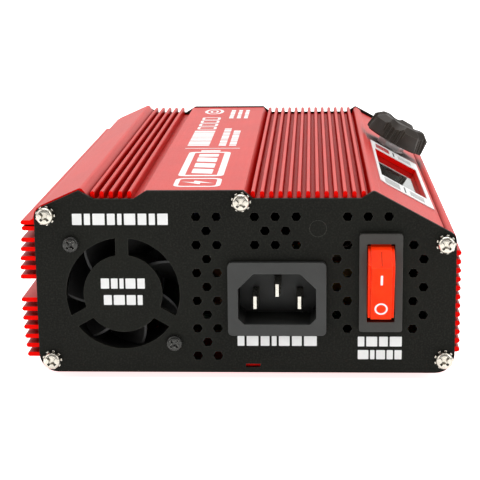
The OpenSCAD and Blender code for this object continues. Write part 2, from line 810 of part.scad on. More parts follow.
module pot_nut() {
    color(steel) in_frame() on_panel(knob_c.x, knob_c.y) difference() {
        union() {
            cylinder(r = 5.6, h = 0.5);
            translate([0, 0, 0.5 - eps]) cylinder(r = 5.5, h = 1.8, $fn = 6);
        }
        translate([0, 0, -1]) cylinder(r = 3.53, h = 6);
    }
}

// ---- Output sockets ----

function socket_rows() = [for (i = [0, 1], j = [0, 1]) socket_y(i, j)];
function socket_y(pair, pole) =
    pair == 0 ? usb_y - 14 - socket_pitch * (1 - pole) : usb_y + 14 + socket_pitch * pole;
function panel_screw_places() = [for (y = [63.5, 146.5], z = [11.6, 22.6]) [y, z]];

// Children drawn with +Z pointing out of the side wall
module out_of_side(x, y, z) {
    translate([x, y, z]) rotate([0, 90, 0]) children();
}

module socket_panel() {
    color(black) in_frame() difference() {
        out_of_side(wall_x, usb_y, socket_z) linear_extrude(socket_face_x - wall_x)
            plate_rect([0, 0], 16, 90, 1.5);
        for (y = socket_rows()) out_of_side(wall_x - 1, y, socket_z) cylinder(r = 4, h = 5);
        for (c = panel_screw_places()) out_of_side(wall_x - 1, c.x, c.y) cylinder(r = 1.4, h = 5);
        block([wall_x - 1, usb_y - 6.8, socket_z - 3.1], [wall_x + 5, usb_y + 6.8, socket_z + 3.1]);
    }
}

module socket_panel_screws() {
    color(black) in_frame() for (c = panel_screw_places())
        out_of_side(socket_face_x, c.x, c.y) pan_screw(1.25, 2.2, 1.3, 4.6);
}

// Insulated body of one socket: a flange outside and a collar through the wall
module socket_shroud(y) {
    difference() {
        union() {
            out_of_side(socket_face_x, y, socket_z) rotate_extrude() polygon([
                [0, 0], [5.3, 0], [5.3, socket_flange - 0.8], [4.7, socket_flange], [0, socket_flange]]);
            out_of_side(inner_x - 0.8, y, socket_z) cylinder(r = 3.9, h = 5);
        }
        out_of_side(inner_x - 2, y, socket_z)
            cylinder(r = 3, h = socket_tip_x - 0.4 - inner_x + 2);
        out_of_side(inner_x, y, socket_z) cylinder(r = 2.4, h = 10);
    }
}

module positive_sockets() {
    color(red) in_frame() for (pair = [0, 1]) socket_shroud(socket_y(pair, 0));
}

module negative_sockets() {
    color(black) in_frame() for (pair = [0, 1]) socket_shroud(socket_y(pair, 1));
}

module socket_contacts() {
    color(brass) in_frame() for (y = socket_rows()) difference() {
        out_of_side(socket_tip_x - 22, y, socket_z) cylinder(r = 2.95, h = 21.6);
        out_of_side(socket_tip_x - 18.4, y, socket_z) cylinder(d = socket_bore, h = 30);
    }
}

module socket_nuts() {
    color(steel) in_frame() for (y = socket_rows()) out_of_side(inner_x - 3.8, y, socket_z)
        difference() {
            cylinder(r = 5, h = 3, $fn = 6);
            translate([0, 0, -1]) cylinder(r = 2.98, h = 5);
        }
}

module usb_shell() {
    color(steel) in_frame() difference() {
        block([52, usb_y - 6.55, socket_z - 2.85], [socket_face_x, usb_y + 6.55, socket_z + 2.85]);
        block([53, usb_y - 6.25, socket_z - 2.55], [socket_face_x + 1, usb_y + 6.25, socket_z + 2.55]);
    }
}

module usb_tongue() {
    color("white") in_frame()
        block([53, usb_y - 5.5, socket_z], [socket_face_x - 1, usb_y + 5.5, socket_z + 1.8]);
}

// ---- Main board ----

function standoff_places() = [for (x = [-standoff_x, standoff_x], y = standoff_y) [x, y]];

module main_board() {
    color(green) in_frame() difference() {
        block([-board_x, board_y[0], board_z], [board_x, board_y[1], board_top]);
        for (c = standoff_places()) translate([c.x, c.y, 0]) cylinder(r = 1.6, h = 20);
    }
}

module board_standoffs() {
    color(brass) in_frame() for (c = standoff_places()) translate([c.x, c.y, floor_top])
        difference() {
            cylinder(r = 3, h = board_z - floor_top);
            translate([0, 0, 0.6]) cylinder(r = m3_bore_r, h = 10);
        }
}

module board_screws() {
    color(steel) in_frame() for (c = standoff_places())
        translate([c.x, c.y, board_top]) pan_screw(m3_r, m3_head_r, m3_head_h, 6);
}

module insulation_sheet() {
    color([0.9, 0.85, 0.6]) in_frame() difference() {
        block([-56, 38, floor_top], [56, board_y[1] - 4, floor_top + 0.4]);
        for (c = standoff_places()) translate([c.x, c.y, 0]) cylinder(r = 3.2, h = 20);
    }
}

transformer = [4, 141];

module transformer_core() {
    color(grey) in_frame() translate([transformer.x, transformer.y, board_top + 1]) {
        block([-12, -22, 0], [12, 22, 5]);
        block([-12, -22, 25], [12, 22, 30]);
        for (s = [-1, 1]) block([-12, s * 19.5 - 2.5, 5 - eps], [12, s * 19.5 + 2.5, 25 + eps]);
        translate([0, 0, 5 - eps]) cylinder(r = 7, h = 20 + 2 * eps);
    }
}

module transformer_winding() {
    color(copper) in_frame() translate([transformer.x, transformer.y, board_top + 6.2])
        difference() {
            union() {
                cylinder(r = 15.8, h = 1.2);
                translate([0, 0, 1]) cylinder(r = 14.8, h = 17.6);
                translate([0, 0, 18.4]) cylinder(r = 15.8, h = 1.2);
            }
            translate([0, 0, -1]) cylinder(r = 7.3, h = 24);
        }
}

// Ring core lying flat, with its winding as raised bands
module ring_coil(r_in, r_out, h, bands) {
    rotate_extrude() translate([r_in, 0]) square([r_out - r_in, h]);
    for (i = [0 : bands - 1]) rotate(i * 360 / bands) rotate_extrude(angle = 300 / bands)
        translate([r_in - 1.2, -1.2]) square([r_out - r_in + 2.4, h + 2.4]);
}

module filter_choke() {
    color(copper) in_frame() translate([-8, 54, board_top + 1.3]) ring_coil(6, 12, 12, 2);
}

module output_inductor() {
    color(copper) in_frame() translate([31, 172, board_top + 1.3]) ring_coil(5, 11, 10, 1);
}

module filter_capacitors() {
    color([0.85, 0.7, 0.1]) in_frame() for (y = [40, 58])
        block([12, y, board_top], [36, y + 9, board_top + 17]);
}

// Upright can with a crimped groove near its foot
module can(c, r, h) {
    translate([c.x, c.y, board_top]) rotate_extrude() polygon([
        [0, 0], [r, 0], [r, 2], [r - 0.6, 2.6], [r - 0.6, 3.4], [r, 4],
        [r, h - 0.6], [r - 0.6, h], [0, h]]);
}

module bulk_capacitors() {
    color([0.1, 0.1, 0.2]) in_frame() for (y = [82, 105.5]) can([-12, y], 11, 35);
}

module output_capacitors() {
    color([0.1, 0.15, 0.3]) in_frame() for (i = [0 : 5]) can([30, 92 + i * 12], 5, 20);
}

sink_x = -42;
sinks = [[40, 104], [114, 184]];

module heat_sinks() {
    color(steel) in_frame() for (s = sinks) {
        block([sink_x, s[0], board_top], [sink_x + 4, s[1], board_top + 34]);
        for (i = [0 : 6]) block([sink_x - 10, s[0], board_top + 2 + i * 5],
            [sink_x + eps, s[1], board_top + 3.4 + i * 5]);
    }
}

module power_transistors() {
    color(black) in_frame() for (y = [84, 122, 144, 166]) {
        block([sink_x + 4, y, board_top + 6], [sink_x + 9, y + 16, board_top + 27]);
        for (i = [-1, 0, 1]) block([sink_x + 6, y + 7.4 + i * 5.4, board_top],
            [sink_x + 7, y + 8.6 + i * 5.4, board_top + 6 + eps]);
    }
}

module bridge_rectifier() {
    color(black) in_frame() {
        block([sink_x + 4, 46, board_top + 6], [sink_x + 9, 72, board_top + 24]);
        for (i = [0 : 3]) block([sink_x + 6, 49 + i * 6, board_top],
            [sink_x + 7, 50.2 + i * 6, board_top + 6 + eps]);
    }
}

module control_board() {
    color(green) in_frame() {
        block([-20, board_y[1] - 4, board_top], [50, board_y[1] - 2.4, board_top + 28]);
        block([-4, board_y[1] - 6, board_top + 10], [6, board_y[1] - 4, board_top + 20]);
        block([18, board_y[1] - 5.6, board_top + 12], [25, board_y[1] - 4, board_top + 17]);
    }
}

module line_fuse() {
    color(steel) in_frame() {
        translate(fuse_c) rotate([-90, 0, 0]) cylinder(r = 2.6, h = 20);
        for (y = [41, 55]) block([43.2, y, board_top], [48.8, y + 4, board_top + 4]);
    }
}

// ---- Wiring, held inside the case ----

tab_y = inlet_depth + 8;
terminal_y = 26;
function tab(i) = [inlet_c.x + pin_places[i].x, tab_y, inlet_c.y + pin_places[i].y];
function terminal(z) = [switch_c.x, terminal_y, switch_c.y + z];
fuse_c = [46, 40, board_top + 4.6];
lug_c = [stud_c.x, plate_t + 0.8, stud_c.y - 10.4];

module mains_leads() {
    color([0.35, 0.2, 0.12]) in_frame() {
        wire([tab(0), tab(0) + [0, 2.5, 0], [5, 29.5, 24], [10, 31.5, 27], [24, 32, 31],
            [37, 31, 36.5], terminal(8.5) + [0, 2.5, 0], terminal(8.5)], 1.2);
        wire([tab(1), tab(1) + [0, 2.5, 0], [17.5, 30, 20], [19, 34, 16],
            [21, 37, 12], [21, 37, board_top]], 1.2);
        wire([terminal(0), terminal(0) + [0, 2.5, 0], [43.5, 32, 27], [45.5, 34.5, 21],
            [46, 35, 17], fuse_c - [0, 2, 0], fuse_c], 1.2);
    }
}

module earth_lead() {
    color([0.2, 0.55, 0.15]) in_frame()
        wire([tab(2), tab(2) + [0, 2.5, 0], [12, 28.5, 30], [16, 27, 34.5], [20, 20, 37.5],
            [22.6, 11, 37.5], lug_c + [0, 2.7, 0], lug_c], 1.1);
}

module fan_lead() {
    color([0.6, 0.08, 0.08]) in_frame() for (x = [-30, -27.5])
        wire([[x, fan_y1, 8.5], [x, 24, 8.5], [x, 28, 9.5], [x, 32, 12], [x, 36, 13.4],
            [x, 38.5, 12], [x, 38.5, board_top]], 0.7);
}

module output_leads() {
    color([0.6, 0.08, 0.08]) in_frame() for (y = socket_rows())
        wire([[socket_tip_x - 22, y, socket_z], [45, y, socket_z], [41.5, y, 15.8],
            [39, y, 13.6], [38, y, 11.6], [38, y, board_top]], 1.5);
}

module display_ribbon() {
    color([0.7, 0.7, 0.7]) in_frame() sweep(
        route([[48.4, window_y[1] + 3, 44], [48.4, window_y[1] + 6, 44], [44, 119, 41.5],
            [37, 125, 40], [31, 137, 39.5], [30, 155, 39], [30, 176, 37], [30, 186, 34],
            [30, board_y[1] - 4, 34]]),
        [[-4, -0.4], [4, -0.4], [4, 0.4], [-4, 0.4]], [sin(panel_a), 0, cos(panel_a)]);
}

upper_shell();
lower_shell();
inlet_end_plate();
far_end_plate();
near_plate_screws();
far_plate_screws();
lock_washers();
rubber_feet();
fan_frame();
fan_rotor();
fan_stator();
fan_screws();
fan_nuts();
inlet_body();
inlet_pins();
switch_housing();
switch_rocker();
switch_plunger();
switch_contact();
switch_terminals();
earth_stud();
earth_nut();
earth_lug();
panel_label();
display_glass();
display_module();
display_board();
adjust_knob();
pot_shaft();
pot_body();
pot_nut();
socket_panel();
socket_panel_screws();
positive_sockets();
negative_sockets();
socket_contacts();
socket_nuts();
usb_shell();
usb_tongue();
main_board();
board_standoffs();
board_screws();
insulation_sheet();
transformer_core();
transformer_winding();
filter_choke();
filter_capacitors();
bulk_capacitors();
output_capacitors();
output_inductor();
heat_sinks();
power_transistors();
bridge_rectifier();
control_board();
line_fuse();
mains_leads();
earth_lead();
fan_lead();
output_leads();
display_ribbon();
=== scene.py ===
"""Looks for a DC power supply with a fan, an inlet, a rocker switch and a setting knob.

Sizes and places are in millimetres, measured from the middle of the near end plate's lower
front edge, and turned into the frame's metres by at() or MM.
"""
import math

import bmesh
import bpy
from mathutils import Matrix, Vector


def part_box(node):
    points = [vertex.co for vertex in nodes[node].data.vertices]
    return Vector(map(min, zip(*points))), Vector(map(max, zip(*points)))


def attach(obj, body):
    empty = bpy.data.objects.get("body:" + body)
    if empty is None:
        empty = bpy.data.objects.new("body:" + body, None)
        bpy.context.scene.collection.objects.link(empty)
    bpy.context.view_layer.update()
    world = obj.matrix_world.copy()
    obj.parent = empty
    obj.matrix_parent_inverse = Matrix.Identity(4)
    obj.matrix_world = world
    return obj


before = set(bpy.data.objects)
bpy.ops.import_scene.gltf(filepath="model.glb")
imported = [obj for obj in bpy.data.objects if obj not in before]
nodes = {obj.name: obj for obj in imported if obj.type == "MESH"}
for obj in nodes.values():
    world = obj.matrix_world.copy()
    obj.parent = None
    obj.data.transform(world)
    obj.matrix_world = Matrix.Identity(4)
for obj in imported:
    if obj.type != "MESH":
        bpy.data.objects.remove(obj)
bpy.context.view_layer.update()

MM = 0.001
plate_low, plate_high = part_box("inlet_end_plate")
PLATE = Vector(((plate_low.x + plate_high.x) / 2, plate_low.y, plate_low.z))


def at(x, y, z):
    """A place in millimetres from the near end plate, in the shared frame."""
    return PLATE + Vector((x, y, z)) * MM


# ---------------------------------------------------------------- camera, lights and floor

def make_camera():
    """The camera of the photo: in front of the near plate, a little above it."""
    yaw = math.radians(2.853)
    pitch = math.radians(-12.64)
    roll = math.radians(-0.653)
    ahead = Vector((-math.sin(yaw) * math.cos(pitch), math.cos(yaw) * math.cos(pitch), math.sin(pitch)))
    side = Vector((math.cos(yaw), math.sin(yaw), 0))
    over = side.cross(ahead)
    right = side * math.cos(roll) + over * math.sin(roll)
    up = over * math.cos(roll) - side * math.sin(roll)
    data = bpy.data.cameras.new("camera")
    data.sensor_width = 36
    data.lens = 110.5
    data.clip_start = 0.01
    data.clip_end = 50
    camera = bpy.data.objects.new("camera", data)
    turn = Matrix((right, up, -ahead)).transposed()
    camera.matrix_world = Matrix.Translation(at(20.9, -446.99, 143.44)) @ turn.to_4x4()
    bpy.context.scene.collection.objects.link(camera)
    bpy.context.scene.camera = camera


def soft_light(name, place, aim, size, power):
    """A square soft box that shines from place to aim."""
    data = bpy.data.lights.new(name, "AREA")
    data.shape = "SQUARE"
    data.size = size
    data.energy = power
    light = bpy.data.objects.new(name, data)
    light.location = place
    light.rotation_euler = (Vector(aim) - Vector(place)).to_track_quat("-Z", "Y").to_euler()
    bpy.context.scene.collection.objects.link(light)


def make_world():
    """A white studio: the camera sees white, and more light comes from above and behind."""
    world = bpy.data.worlds.new("studio")
    bpy.context.scene.world = world
    world.use_nodes = True
    tree = world.node_tree
    tree.nodes.clear()

    def ramp(source, low, high, to_low, to_high):
        made = tree.nodes.new("ShaderNodeMapRange")
        for name, value in (("From Min", low), ("From Max", high), ("To Min", to_low), ("To Max", to_high)):
            made.inputs[name].default_value = value
        tree.links.new(source, made.inputs["Value"])
        return made.outputs["Result"]

    coord = tree.nodes.new("ShaderNodeTexCoord")
    split = tree.nodes.new("ShaderNodeSeparateXYZ")
    product = tree.nodes.new("ShaderNodeMath")
    seen = tree.nodes.new("ShaderNodeLightPath")
    light = tree.nodes.new("ShaderNodeBackground")
    white = tree.nodes.new("ShaderNodeBackground")
    pick = tree.nodes.new("ShaderNodeMixShader")
    out = tree.nodes.new("ShaderNodeOutputWorld")
    product.operation = "MULTIPLY"
    white.inputs["Strength"].default_value = 1.05
    tree.links.new(coord.outputs["Generated"], split.inputs[0])
    tree.links.new(ramp(split.outputs["Z"], -0.2, 0.7, 0.45, 0.8), product.inputs[0])
    tree.links.new(ramp(split.outputs["Y"], -0.6, 0.9, 0.5, 1.25), product.inputs[1])
    tree.links.new(product.outputs[0], light.inputs["Strength"])
    tree.links.new(seen.outputs["Is Camera Ray"], pick.inputs["Fac"])
    tree.links.new(light.outputs[0], pick.inputs[1])
    tree.links.new(white.outputs[0], pick.inputs[2])
    tree.links.new(pick.outputs[0], out.inputs["Surface"])
    bpy.context.scene.view_settings.view_transform = "Standard"


# ---------------------------------------------------------------- materials

class Look:
    """One procedural material, built up from the object's own coordinates."""

    def __init__(self, name, **sockets):
        self.material = bpy.data.materials.new("look_" + name)
        self.material.use_nodes = True
        self.tree = self.material.node_tree
        self.shader = self.tree.nodes["Principled BSDF"]
        for socket, value in sockets.items():
            self.shader.inputs[socket.replace("_", " ")].default_value = value
        self.place = self.node("TexCoord").outputs["Object"]
        self.round = None

    def node(self, kind, settings=None, **values):
        """A new node; each value is a number or the output that feeds that input."""
        made = self.tree.nodes.new("ShaderNode" + kind)
        for key, value in (settings or {}).items():
            setattr(made, key, value)
        for key, value in values.items():
            socket = made.inputs[key.replace("_", " ")]
            if isinstance(value, bpy.types.NodeSocket):
                self.tree.links.new(value, socket)
            else:
                socket.default_value = value
        return made

    def link(self, source, target):
        self.tree.links.new(source, target)

    def noise(self, size, detail=3.0, stretch=(1, 1, 1)):
        """Noise whose features are about size millimetres across."""
        place = self.node("Mapping", Vector=self.place, Scale=stretch).outputs[0]
        return self.node("TexNoise", Vector=place, Scale=1 / (size * MM), Detail=detail).outputs["Fac"]

    def spread(self, value, low, high, to_low, to_high):
        """Maps low to high onto to_low to to_high."""
        made = self.node("MapRange", Value=value, From_Min=low, From_Max=high,
                         To_Min=to_low, To_Max=to_high)
        return made.outputs["Result"]

    def mix(self, factor, first, second):
        """The first colour where the factor is 0 and the second where it is 1."""
        made = self.node("Mix", {"data_type": "RGBA"})
        for socket, value in ((0, factor), (6, first), (7, second)):
            if isinstance(value, bpy.types.NodeSocket):
                self.link(value, made.inputs[socket])
            else:
                made.inputs[socket].default_value = value if socket == 0 else (*value, 1)
        return made.outputs[2]

    def bands(self, axis, pitch):
        """Even stripes across one axis, pitch millimetres apart, from 0 to 1."""
        made = self.node("TexWave", {"bands_direction": axis}, Vector=self.place, Distortion=0.4)
        made.inputs["Scale"].default_value = math.tau / (20 * pitch * MM)
        made.inputs["Detail Scale"].default_value = 1.5
        return made.outputs["Fac"]

    def edges(self, radius):
        """0 on a flat and 1 on a sharp edge, and a normal that rounds the edge."""
        self.round = self.node("Bevel", {"samples": 4}, Radius=radius * MM).outputs[0]
        true = self.node("NewGeometry").outputs["Normal"]
        dot = self.node("VectorMath", {"operation": "DOT_PRODUCT"})
        self.link(self.round, dot.inputs[0])
        self.link(true, dot.inputs[1])
        return self.spread(dot.outputs["Value"], 0.8, 0.99, 1.0, 0.0)

    def join(self, operation, first, second):
        """The result of one sum on two outputs."""
        made = self.node("Math", {"operation": operation})
        self.link(first, made.inputs[0])
        self.link(second, made.inputs[1])
        return made.outputs[0]

    def hollows(self, reach, low=0.25, high=0.8):
        """1 deep in a groove and 0 on an open face."""
        open_part = self.node("AmbientOcclusion", {"samples": 8}, Distance=reach * MM).outputs["AO"]
        return self.spread(open_part, low, high, 1.0, 0.0)

    def finish(self, colour, rough, height, depth):
        """Joins colour, roughness and a bump depth millimetres high to the shader."""
        self.link(colour, self.shader.inputs["Base Color"])
        self.link(rough, self.shader.inputs["Roughness"])
        bump = self.node("Bump", Strength=1.0, Distance=depth * MM, Height=height)
        if self.round is not None:
            self.link(self.round, bump.inputs["Normal"])
        self.link(bump.outputs[0], self.shader.inputs["Normal"])
        return self.material


def plain(name, light, dark, rough, grain, depth, cloud, stretch=(1, 1, 1), edge=None, hollow=None,
          **sockets):
    """A surface with cloudy colour and a fine grain.

    Grain and cloud are the sizes of the two patterns, and depth is the grain's height. Edge and
    hollow, if given, are each a colour and a reach, for a painted highlight along the edges, in
    part also wear, and for painted shade in the hollows.
    """
    look = Look(name, **sockets)
    broad = look.spread(look.noise(cloud, 4.0, stretch), 0.35, 0.65, 0.0, 1.0)
    fine = look.noise(grain, 2.0)
    colour = look.mix(broad, light, dark)
    # A painted highlight along the edges, then painted shade in the hollows.
    if edge:
        colour = look.mix(look.edges(edge[1]), colour, edge[0])
    if hollow:
        colour = look.mix(look.hollows(hollow[1]), colour, hollow[0])
    roughness = look.spread(fine, 0.3, 0.7, *rough)
    return look.finish(colour, roughness, fine, depth)


def striped(name, light, dark, axis, pitch, rough, depth):
    """Even ridges across one axis: a can's sleeve, a two-coloured wire or a ribbon's wires."""
    look = Look(name)
    ridges = look.bands(axis, pitch)
    cloud = look.noise(6, 3.0)
    shade = look.mix(look.spread(ridges, 0.2, 0.7, 0.0, 1.0), dark, light)
    colour = look.mix(look.spread(cloud, 0.3, 0.7, 0.0, 0.35), shade, dark)
    return look.finish(colour, look.spread(cloud, 0.3, 0.7, *rough), ridges, depth)


def anodised():
    """Red anodised extrusion: faint die lines along its length and a satin grain.

    The faces that point along the extrusion get a clearer red and no sheen, as painted light;
    the grooves get painted shade and the slopes under the knob a painted shadow, with no sheen.
    """
    look = Look("red_anodised", Metallic=0.15, Specular_Tint=(1, 0.93, 0.87, 1))
    lines = look.noise(1.1, 2.0, (1, 0.01, 1))
    cloud = look.noise(22, 3.0)
    fine = look.noise(0.28, 2.0)
    cloudy = look.spread(cloud, 0.35, 0.65, 0.0, 1.0)
    base = look.mix(cloudy, (0.68, 0.015, 0.007), (0.61, 0.012, 0.006))
    lined = look.mix(look.spread(lines, 0.35, 0.75, 0.0, 0.35), base, (0.56, 0.008, 0.005))
    # Brighter red on the edges: a painted highlight, in part also wear.
    wear_and_highlight = look.mix(look.edges(0.1), lined, (0.85, 0.045, 0.03))
    # Faces that point along the length get a clearer red and no sheen: painted light.
    facing = look.node("SeparateXYZ")
    look.link(look.node("NewGeometry").outputs["True Normal"], facing.inputs[0])
    along = look.node("Math", {"operation": "ABSOLUTE"})
    look.link(facing.outputs["Y"], along.inputs[0])
    end_light = look.spread(along.outputs[0], 0.2, 0.7, 0.0, 1.0)
    # Painted shade in the grooves, from ambient occlusion.
    groove = look.hollows(3.2, 0.3, 0.85)
    # A painted shadow on the slopes under the knob.
    not_steep = look.spread(facing.outputs["Z"], 0.5, 0.8, 0.0, 1.0)
    not_level = look.spread(facing.outputs["Z"], 0.9, 0.97, 1.0, 0.0)
    sloping = look.join("MULTIPLY", not_steep, not_level)
    knob_shadow = look.join("MULTIPLY", look.hollows(10, 0.2, 0.8), sloping)
    deep = look.mix(groove, wear_and_highlight, (0.4, 0.003, 0.001))
    shaded = look.mix(knob_shadow, deep, (0.03, 0.001, 0.001))
    colour = look.mix(end_light, shaded, (0.95, 0.006, 0.004))
    # Specular is taken away in the painted shade and shadow and on the lit ends.
    dull = look.join("MAXIMUM", look.join("MAXIMUM", groove, knob_shadow), end_light)
    look.link(look.spread(dull, 0.0, 1.0, 0.38, 0.0), look.shader.inputs["Specular IOR Level"])
    grain = look.join("ADD", fine, look.spread(lines, 0.2, 0.8, 0.0, 0.6))
    return look.finish(colour, look.spread(fine, 0.3, 0.7, 0.32, 0.44), grain, 0.008)


def powder():
    """Black textured powder coat; its bright edges are painted highlight, partly bare cut metal."""
    look = Look("plate_black", Specular_IOR_Level=0.12)
    cloud = look.noise(30, 3.0)
    fine = look.noise(0.55, 3.0)
    speck = look.spread(fine, 0.45, 0.75, 0.0, 1.0)
    cloudy = look.spread(cloud, 0.35, 0.65, 0.0, 1.0)
    base = look.mix(cloudy, (0.0085, 0.0088, 0.0066), (0.0062, 0.0064, 0.0048))
    grained = look.mix(speck, base, (0.02, 0.0205, 0.016))
    # Lighter edges: a painted highlight, in part also bare metal where the sheet was cut.
    colour = look.mix(look.edges(0.18), grained, (0.09, 0.088, 0.075))
    return look.finish(colour, look.spread(fine, 0.3, 0.7, 0.5, 0.68), fine, 0.03)


def green_board():
    """Solder mask that shows the copper tracks under it."""
    look = Look("circuit_board", Specular_IOR_Level=0.6, Coat_Weight=0.3, Coat_Roughness=0.15)
    cells = look.node("TexVoronoi", {"feature": "DISTANCE_TO_EDGE", "distance": "MANHATTAN"})
    look.link(look.place, cells.inputs["Vector"])
    cells.inputs["Scale"].default_value = 1 / (5 * MM)
    tracks = look.spread(cells.outputs["Distance"], 0.03, 0.06, 1.0, 0.0)
    cloud = look.noise(14)
    mask = look.mix(look.spread(cloud, 0.3, 0.7, 0.0, 1.0), (0.012, 0.12, 0.045), (0.008, 0.085, 0.035))
    colour = look.mix(tracks, mask, (0.03, 0.24, 0.08))
    return look.finish(colour, look.spread(cloud, 0.3, 0.7, 0.25, 0.4), tracks, 0.03)


def metal(name, light, dark, rough, cloud, **more):
    """Bare or plated metal with a faint grain."""
    return plain(name, light, dark, rough, 0.4, 0.006, cloud, **{"Metallic": 1.0, **more})


def make_looks():
    """The finish of every slot in the record."""
    made = [
        anodised(),
        powder(),
        green_board(),
        # Screws: painted highlight on the edges and painted shade in the cross recess.
        metal("bright_steel", (0.74, 0.69, 0.6), (0.62, 0.58, 0.5), (0.16, 0.28), 2.5,
              edge=((1.0, 0.98, 0.93), 0.14), hollow=((0.03, 0.027, 0.022), 0.7)),
        # Painted highlight on the edges of the black screws.
        metal("black_screw", (0.06, 0.06, 0.056), (0.035, 0.035, 0.033), (0.2, 0.3), 2,
              edge=((0.5, 0.48, 0.44), 0.16), Metallic=0.8),
        metal("brass", (0.83, 0.62, 0.28), (0.7, 0.5, 0.2), (0.22, 0.36), 3),
        metal("nickel", (0.74, 0.71, 0.64), (0.6, 0.57, 0.5), (0.2, 0.32), 3),
        metal("copper", (0.78, 0.4, 0.24), (0.62, 0.28, 0.15), (0.26, 0.4), 3),
        metal("steel", (0.6, 0.6, 0.6), (0.46, 0.46, 0.45), (0.28, 0.42), 4),
        metal("bare_aluminium", (0.7, 0.7, 0.71), (0.58, 0.58, 0.59), (0.3, 0.45), 2,
              stretch=(1, 0.05, 1)),
        plain("rubber", (0.018, 0.018, 0.018), (0.028, 0.027, 0.026), (0.72, 0.88), 0.3, 0.03, 5),
        # Painted highlight on the edges of the fan, inlet and switch; painted shade in the inlet's recess.
        plain("fan_plastic", (0.014, 0.014, 0.014), (0.022, 0.021, 0.02), (0.42, 0.55), 0.4, 0.01, 8,
              edge=((0.06, 0.06, 0.055), 0.2)),
        plain("inlet_grey", (0.034, 0.035, 0.033), (0.027, 0.028, 0.026), (0.42, 0.55), 0.3, 0.012, 6,
              edge=((0.09, 0.09, 0.087), 0.25), hollow=((0.003, 0.003, 0.002), 7)),
        plain("switch_black", (0.034, 0.033, 0.028), (0.027, 0.0265, 0.023), (0.38, 0.5), 0.3, 0.01, 5,
              edge=((0.11, 0.1, 0.09), 0.22)),
        # Rocker: painted highlight on the edges, painted shade in its hollows, and the faint red emission
        # is a painted glow.
        plain("rocker_red", (0.98, 0.042, 0.004), (0.92, 0.032, 0.003), (0.3, 0.38), 0.8, 0.004, 4,
              edge=((1.0, 0.12, 0.05), 0.2), hollow=((0.22, 0.003, 0.001), 2.4),
              Subsurface_Weight=0.3, Subsurface_Scale=0.004, Specular_IOR_Level=0.08,
              Emission_Color=(1.0, 0.03, 0.001, 1), Emission_Strength=0.2),
        plain("label_white", (0.9, 0.895, 0.885), (0.84, 0.835, 0.83), (0.34, 0.44), 0.5, 0.003, 14,
              Coat_Weight=0.3, Coat_Roughness=0.2),
        plain("display_glass", (0.52, 0.55, 0.53), (0.48, 0.51, 0.49), (0.02, 0.05), 3, 0.0005, 18,
              Transmission_Weight=0.92, IOR=1.5, Metallic=0.85),
        plain("display_grey", (0.3, 0.33, 0.29), (0.25, 0.28, 0.245), (0.3, 0.4), 0.4, 0.004, 12),
        # Knob: painted highlight on the edges and painted shade in its hollows.
        plain("knob_black", (0.03, 0.022, 0.016), (0.02, 0.015, 0.011), (0.36, 0.5), 0.35, 0.02, 5,
              edge=((0.13, 0.12, 0.095), 0.3), hollow=((0.004, 0.003, 0.002), 5),
              Specular_IOR_Level=0.25),
        # Painted highlight on the edges of both sockets.
        plain("socket_red", (0.6, 0.018, 0.016), (0.5, 0.013, 0.012), (0.28, 0.38), 0.5, 0.005, 5,
              edge=((0.8, 0.1, 0.08), 0.25)),
        plain("socket_black", (0.02, 0.02, 0.02), (0.014, 0.014, 0.014), (0.3, 0.4), 0.5, 0.006, 5,
              edge=((0.08, 0.08, 0.08), 0.25)),
        plain("white_plastic", (0.82, 0.81, 0.78), (0.76, 0.75, 0.71), (0.4, 0.5), 0.5, 0.006, 6),
        plain("ferrite", (0.05, 0.052, 0.056), (0.03, 0.031, 0.034), (0.45, 0.6), 0.25, 0.03, 3),
        plain("film_yellow", (0.75, 0.5, 0.06), (0.66, 0.42, 0.045), (0.25, 0.38), 0.6, 0.01, 4),
        plain("epoxy_black", (0.018, 0.018, 0.019), (0.026, 0.026, 0.027), (0.5, 0.65), 0.2, 0.02, 3),
        plain("sheet_amber", (0.66, 0.48, 0.18), (0.56, 0.39, 0.13), (0.25, 0.4), 1.5, 0.01, 8),
        plain("wire_brown", (0.12, 0.05, 0.028), (0.09, 0.036, 0.02), (0.35, 0.48), 0.5, 0.01, 3),
        plain("wire_red", (0.5, 0.026, 0.022), (0.4, 0.018, 0.016), (0.33, 0.45), 0.5, 0.01, 3),
        striped("can_sleeve", (0.03, 0.035, 0.08), (0.018, 0.02, 0.05), "Z", 3, (0.22, 0.32), 0.02),
        striped("wire_green", (0.1, 0.36, 0.06), (0.45, 0.42, 0.04), "X", 2.2, (0.35, 0.48), 0.01),
        striped("ribbon_grey", (0.5, 0.5, 0.49), (0.24, 0.24, 0.24), "Y", 1.27, (0.4, 0.52), 0.15),
    ]
    return {look.name.removeprefix("look_"): look for look in made}


def make_inks():
    """The inks of the printed marks."""
    shades = {
        "white": ((0.92, 0.92, 0.91), (0.86, 0.86, 0.85)),
        "black": ((0.02, 0.02, 0.02), (0.035, 0.033, 0.03)),
        "red": ((0.42, 0.02, 0.02), (0.34, 0.015, 0.015)),
        "grey": ((0.45, 0.45, 0.44), (0.38, 0.38, 0.37)),
    }
    return {name: plain("ink_" + name, light, dark, (0.4, 0.5), 0.2, 0.003, 4)
            for name, (light, dark) in shades.items()}


def dress_cad():
    """Gives every CAD node the look of its record slot."""
    for piece in nodes.values():
        for place in piece.material_slots:
            name = place.material.name.split(".")[0]
            place.material = LOOKS[name]


# ---------------------------------------------------------------- printed marks

